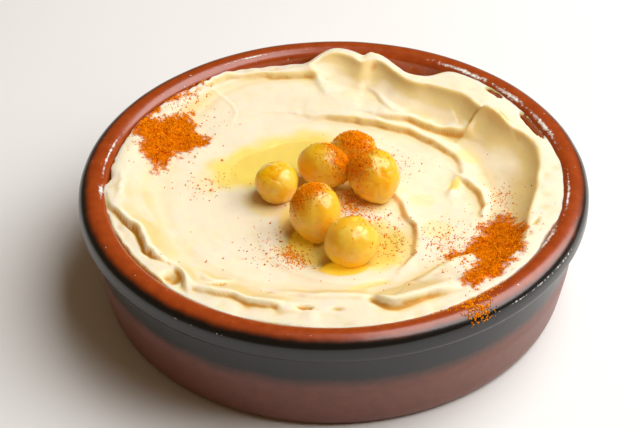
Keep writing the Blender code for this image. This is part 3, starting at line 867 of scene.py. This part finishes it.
def chickpea_skin():
    """Boiled chickpea: a thin, wet, translucent skin over soft flesh, amber and unevenly pale,
    glossed by the oil. Where the skin is torn, the flesh shows a deeper orange yellow."""
    finish, tree, place = new_finish("boiled chickpea skin")
    marks = {mark: add(tree, "Attribute", attribute_name=mark, take="Fac") for mark in ("torn", "ragged", "paprika")}
    cloud = add(tree, "TexNoise", {"Vector": place, "Scale": per_metre(6), "Detail": 3.0})
    mottle = add(tree, "TexNoise", {"Vector": place, "Scale": per_metre(1.6), "Detail": 4.0})
    patch = add(tree, "MapRange", {"Value": cloud, "From Min": 0.38, "From Max": 0.62})
    amber = add(tree, "MixRGB", {"Fac": patch, "Color1": colour("FFBE16"), "Color2": colour("FFDA70")})
    skin = add(tree, "MixRGB", {"Fac": mottle, "Color1": amber, "Color2": colour("FFB60E")})
    flesh = add(tree, "MixRGB", {"Fac": marks["torn"], "Color1": skin, "Color2": colour("F6B600")})
    base = add(tree, "MixRGB", {"Fac": marks["ragged"], "Color1": flesh, "Color2": colour("FFE8BC")})
    relief = add(tree, "Bump", {"Height": mottle, "Strength": 0.25, "Distance": 0.2 * MM})
    shader = add(
        tree,
        "BsdfPrincipled",
        {
            "Base Color": base,
            "Roughness": 0.3,
            "Normal": relief,
            "IOR": 1.42,
            "Subsurface Weight": 1.0,
            "Subsurface Radius": (1.0, 0.86, 0.25),
            "Subsurface Scale": 8.0 * MM,
            "Subsurface Anisotropy": 0.4,
            "Coat Weight": 0.6,
            "Coat Roughness": 0.16,
        },
    )
    dusted_over = add(tree, "MixShader", {0: marks["paprika"], 1: shader, 2: fine_powder(tree, place)})
    add(tree, "OutputMaterial", {"Surface": dusted_over})
    return finish


def ball_directions(rings, steps):
    """Unit directions on rings from just below the top of a ball to just above its bottom."""
    down = np.pi * (np.arange(rings) + 0.5)[:, None] / rings
    return around(np.sin(down), np.linspace(0.0, 2.0 * np.pi, steps, endpoint=False), np.cos(down))


skin = chickpea_skin()
directions = ball_directions(CHICKPEA_RINGS, CHICKPEA_STEPS)
for number in range(1, len(CHICKPEAS) + 1):
    chickpea = closed_surface(
        f"boiled_chickpea_{number}",
        chickpea_rings(number, directions),
        skin,
        torn=torn(number, directions),
        ragged=skin_rim(number, directions),
        paprika=chickpea_dust(number, directions),
    )
    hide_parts(f"chickpea_{number}")

# ---- The olive oil ----
# Oil poured last, standing level in the two wells. Each pool is a clear lens whose top is
# the oil's surface and whose underside lies in the paste.

POOL_REACH = 1.15
POOL_RINGS = 24
POOL_STEPS = 120


def pool_rings(well):
    """A lens over a well: a level top, and an underside that bows down into the paste."""
    centre_x, centre_y, half_length, half_width, turned, depth, level = well
    steps = np.linspace(0.0, 2.0 * np.pi, POOL_STEPS, endpoint=False)
    share = np.linspace(0.04, 1.0, POOL_RINGS)
    share = np.concatenate([share, share[-2::-1]])
    sunk = np.where(np.arange(len(share)) < POOL_RINGS, 0.0, 0.3 + (depth + 0.6) * (1.0 - share**2))
    unit = around(share[:, None], steps, 0.0)
    cos, sin = np.cos(np.radians(turned)), np.sin(np.radians(turned))
    along, aside = unit[..., 0] * half_length * POOL_REACH, unit[..., 1] * half_width * POOL_REACH
    x, y = centre_x + along * cos - aside * sin, centre_y + along * sin + aside * cos
    return np.stack([x, y, np.broadcast_to(level - sunk[:, None], x.shape)], -1)


def oil_film():
    """Olive oil, a millimetre deep at most: clear, faintly golden, and mirror smooth."""
    finish, tree, _ = new_finish("olive oil")
    clear = add(tree, "BsdfTransparent", {"Color": colour("FFFFFA")})
    shine = add(tree, "BsdfGlossy", {"Roughness": 0.04})
    mirrored = add(tree, "Fresnel", {"IOR": 1.3})
    mixed = add(tree, "MixShader", {0: mirrored, 1: clear, 2: shine})
    add(tree, "OutputMaterial", {"Surface": mixed})
    return finish


oil = oil_film()
for node_name, well in WELLS.items():
    pool = closed_surface(f"{node_name}_pool", pool_rings(well), oil)
    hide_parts(node_name)

# ---- The paprika ----
# Ground paprika, pinched over the dish at both sides and over the chickpeas. It lies in
# flat grains of a third of a millimetre, brick red to orange, some fallen on the lip.

GRAIN = 0.18
GRAINS_PER_MM2 = 9.0
SPILL_ANGLE = -57.5
SPILL_SPREAD = 4.2
SPILL_RADII = (57.2, 65.0)
SPILL_GRAINS = 1250


def grains(rng, places):
    """Flattened octahedra, one at each place: every grain has its own size, proportions and turn."""
    corners = np.concatenate([np.eye(3), -np.eye(3)])
    count = len(places)
    size = GRAIN * np.exp(0.3 * rng.standard_normal((count, 1, 1)))
    shape = rng.uniform(0.55, 1.45, (count, 1, 3))
    turns, _ = np.linalg.qr(rng.standard_normal((count, 3, 3)))
    turns *= np.sign(np.linalg.det(turns))[:, None, None]
    return ((corners * shape * size) @ turns + places[:, None, :]).reshape(-1, 3)


def scatter_on_hummus(rng):
    """Places of the grains that lie on the paste: evenly drawn over each dusting and kept
    where it lies thick, and drawn in a bell over each sprinkle."""
    spots = []
    for outline in DUSTINGS.values():
        low, high = np.min(outline, axis=0) - 2.0, np.max(outline, axis=0) + 2.0
        drawn = rng.uniform(low, high, (round(GRAINS_PER_MM2 * np.prod(high - low)), 2))
        spots.append(drawn[dusted(*drawn.T) > rng.uniform(0.05, 1.0, len(drawn))])
    for centre_x, centre_y, half_length, half_width, turned, count in SPRINKLES:
        unit = rng.standard_normal((count, 2)) * 0.5 * (half_length, half_width)
        cos, sin = np.cos(np.radians(turned)), np.sin(np.radians(turned))
        spots.append(unit @ ((cos, sin), (-sin, cos)) + (centre_x, centre_y))
    x, y = np.concatenate(spots).T
    inside = np.hypot(x, y) < 57.0
    x, y = x[inside], y[inside]
    return np.stack([x, y, hummus_height(x, y) + 0.03], -1)


def spill_on_lip(rng):
    """Places of the grains spilt over the lip at the right of the front, in a few clumps."""
    radius = SPILL_RADII[0] + (SPILL_RADII[1] - SPILL_RADII[0]) * rng.uniform(0.0, 1.0, SPILL_GRAINS) ** 1.9
    spread = SPILL_SPREAD * (0.4 + ease((63.0 - radius) / 6.0))
    angle = np.radians(SPILL_ANGLE + spread * rng.standard_normal(SPILL_GRAINS))
    clumped = lumps(np.stack([radius, angle * radius], -1) / 1.1, seed=34) > rng.uniform(-0.7, 0.4, SPILL_GRAINS)
    places = around(radius, angle, lip_height(radius) + 0.05)
    return places[clumped]


def scatter_on_chickpeas(rng):
    """Places of the grains on the chickpeas, drawn in a bell round each direction."""
    spots = []
    for number, facing, spread, count in CHICKPEA_DUSTINGS:
        toward = np.array(facing) + spread * rng.standard_normal((count, 3))
        toward /= np.linalg.norm(toward, axis=1)[:, None]
        spots.append(chickpea_rings(number, toward))
    return np.concatenate(spots)


def paprika_powder():
    """Ground sweet paprika: dry matt flakes from orange to dark brick red."""
    finish, tree, _ = new_finish("ground paprika")
    tone = add(tree, "Attribute", attribute_name="tone", take="Fac")
    orange = add(tree, "MixRGB", {"Fac": tone, "Color1": colour("A04604"), "Color2": colour("FF9E10")})
    shader = add(tree, "BsdfDiffuse", {"Color": orange})
    add(tree, "OutputMaterial", {"Surface": shader})
    return finish


rng = np.random.default_rng(8)
places = np.concatenate([scatter_on_hummus(rng), spill_on_lip(rng), scatter_on_chickpeas(rng)])
octant = np.array([(0, 1, 2), (1, 3, 2), (3, 4, 2), (4, 0, 2), (1, 0, 5), (3, 1, 5), (4, 3, 5), (0, 4, 5)])
faces = (octant + 6 * np.arange(len(places))[:, None, None]).reshape(-1, 3)
thick = dusted(places[:, 0], places[:, 1])
tone = np.repeat(rng.beta(4.5 - 2.5 * thick, 1.1), 6)
paprika = piece("paprika", grains(rng, places), faces.tolist(), paprika_powder(), {"tone": tone})

# ---- The table, the light and the camera ----
# A plain white table under one large soft lamp high on the right, with little light from
# elsewhere, seen from the front and above.

LENS = 110.25
DISTANCE = 500.0
ELEVATION = 36.63
ROLL = -0.57
SHIFT = (-0.0206, -0.0627)


def white_table():
    """Matt white laminate, which only has to throw plain light back at the dish."""
    finish, tree, place = new_finish("matt white table")
    haze = add(tree, "TexNoise", {"Vector": place, "Scale": per_metre(60), "Detail": 2.0})
    base = add(tree, "MixRGB", {"Fac": haze, "Color1": colour("F0F0EE"), "Color2": colour("F6F6F5")})
    shader = add(tree, "BsdfPrincipled", {"Base Color": base, "Roughness": 0.7})
    add(tree, "OutputMaterial", {"Surface": shader})
    return finish


mesh = bpy.data.meshes.new("table")
reach = 1.5
mesh.from_pydata([(-reach, -reach, 0), (reach, -reach, 0), (reach, reach, 0), (-reach, reach, 0)], [], [(0, 1, 2, 3)])
mesh.materials.append(white_table())
table = bpy.data.objects.new("table", mesh)
bpy.context.scene.collection.objects.link(table)

lamp = bpy.data.lights.new("softbox", "AREA")
lamp.shape = "RECTANGLE"
lamp.size = 0.8
lamp.size_y = 0.8
lamp.energy = 9.0
softbox = bpy.data.objects.new("softbox", lamp)
bpy.context.scene.collection.objects.link(softbox)


def look_along(back, roll, place):
    """A matrix at a place whose Z axis points back from the view, turned by a roll in degrees."""
    back = np.array(back) / np.linalg.norm(back)
    right = np.cross((0.0, 0.0, 1.0), back)
    right /= np.linalg.norm(right)
    up = np.cross(back, right)
    cos, sin = np.cos(np.radians(roll)), np.sin(np.radians(roll))
    columns = (cos * right + sin * up, cos * up - sin * right, back, place)
    matrix = np.eye(4)
    matrix[:3] = np.stack(columns, -1)
    return Matrix(matrix.tolist())


lamp_side = np.array((0.56, 0.07, 0.83))
softbox.matrix_world = look_along(lamp_side, 0.0, lamp_side / np.linalg.norm(lamp_side) * 0.75)

world = bpy.data.worlds.new("dim studio")
world.use_nodes = True
world.node_tree.nodes["Background"].inputs["Color"].default_value = colour("FFD4A0")
world.node_tree.nodes["Background"].inputs["Strength"].default_value = 0.14
bpy.context.scene.world = world
bpy.context.scene.view_settings.view_transform = "Standard"

tilt = np.radians(ELEVATION)
back = np.array((0.0, -np.cos(tilt), np.sin(tilt)))
view = bpy.data.cameras.new("camera")
view.lens = LENS
view.sensor_width = 36.0
view.shift_x, view.shift_y = SHIFT
view.clip_start = 0.01
camera = bpy.data.objects.new("camera", view)
camera.matrix_world = look_along(back, ROLL, (back * DISTANCE + (0.0, 0.0, HEIGHT)) * MM)
bpy.context.scene.collection.objects.link(camera)
bpy.context.scene.camera = camera
